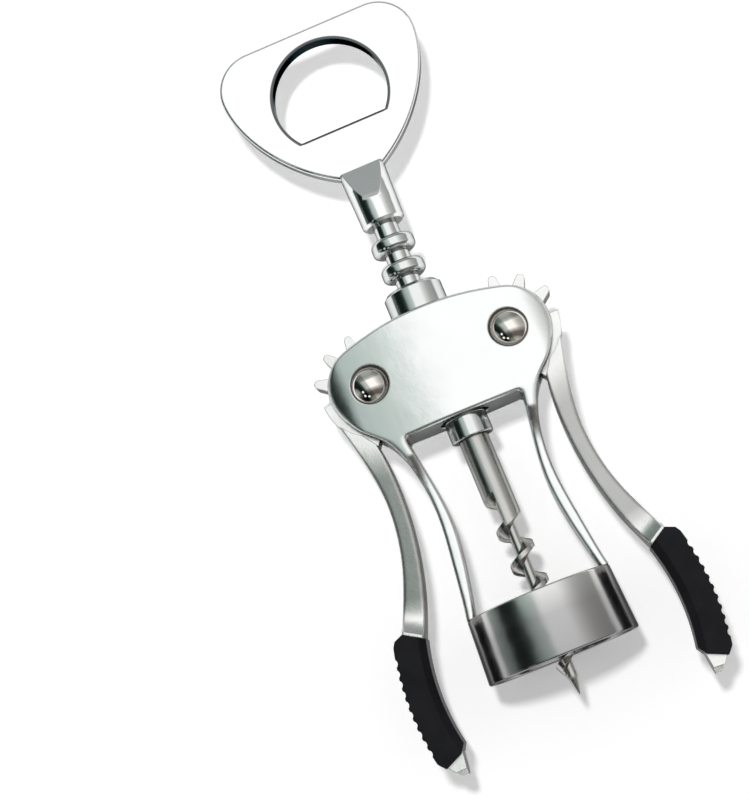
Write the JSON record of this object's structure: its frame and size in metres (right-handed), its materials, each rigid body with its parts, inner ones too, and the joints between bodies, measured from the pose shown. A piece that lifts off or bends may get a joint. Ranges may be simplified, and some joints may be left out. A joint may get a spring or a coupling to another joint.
{
  "type": "wing corkscrew",
  "caption": "Wing corkscrew: geared levers with rubber grips drive a ringed spindle and worm through a cast frame on a bell; the flat handle is a bottle opener.",
  "frame": {"origin": "centre of the bell's open mouth, in the plane of its lip", "axes": "+Y runs up the corkscrew's axis from the bell to the handle, X runs across both levers, and +Z is the front, where the domed heads of the pivot rivets are"},
  "size_m": [0.0804, 0.1957, 0.0398],
  "materials": {
    "bell_steel": "dark polished, sharp reflections",
    "cast_frame": "satin plated casting with rounded edges",
    "turned_chrome": "bright turned plating",
    "handle_metal": "bright smooth plating",
    "worm_steel": "smooth ground steel",
    "lever_metal": "satin plating",
    "grip_rubber": "dark soft rubber with fine cross ribs",
    "rivet_steel": "polished ball heads"
  },
  "bodies": {
    "frame": {"frame_body": "cast_frame", "bell": "bell_steel", "left_pivot_rivet": "rivet_steel", "right_pivot_rivet": "rivet_steel", "left_rivet_cap": "rivet_steel", "right_rivet_cap": "rivet_steel"},
    "collar": {"guide_collar": "turned_chrome"},
    "spindle": {"rack_spindle": "turned_chrome", "opener_handle": "handle_metal", "worm": "worm_steel"},
    "left_wing": {"left_lever": "lever_metal", "left_grip": "grip_rubber"},
    "right_wing": {"right_lever": "lever_metal", "right_grip": "grip_rubber"}
  },
  "joints": [
    {"name": "spindle_spin", "type": "hinge", "parent": "frame", "child": "collar", "pos_m": [0, 0.081, 0], "axis": [0, 1, 0], "continuous": true},
    {"name": "spindle_slide", "type": "slide", "parent": "collar", "child": "spindle", "axis": [0, -1, 0], "range_m": [-0.0008, 0.0312]},
    {"name": "right_wing_pivot", "type": "hinge", "parent": "frame", "child": "right_wing", "pos_m": [0.019, 0.081, 0], "axis": [0, 0, 1], "range_deg": [-3, 131]},
    {"name": "left_wing_pivot", "type": "hinge", "parent": "frame", "child": "left_wing", "pos_m": [-0.019, 0.081, 0], "axis": [0, 0, -1], "range_deg": [-3, 131]}
  ],
  "couplings": [
    {"joint": "spindle_slide", "follows": "right_wing_pivot", "m_per_rad": 0.01356},
    {"joint": "left_wing_pivot", "follows": "right_wing_pivot", "ratio": 1}
  ]
}
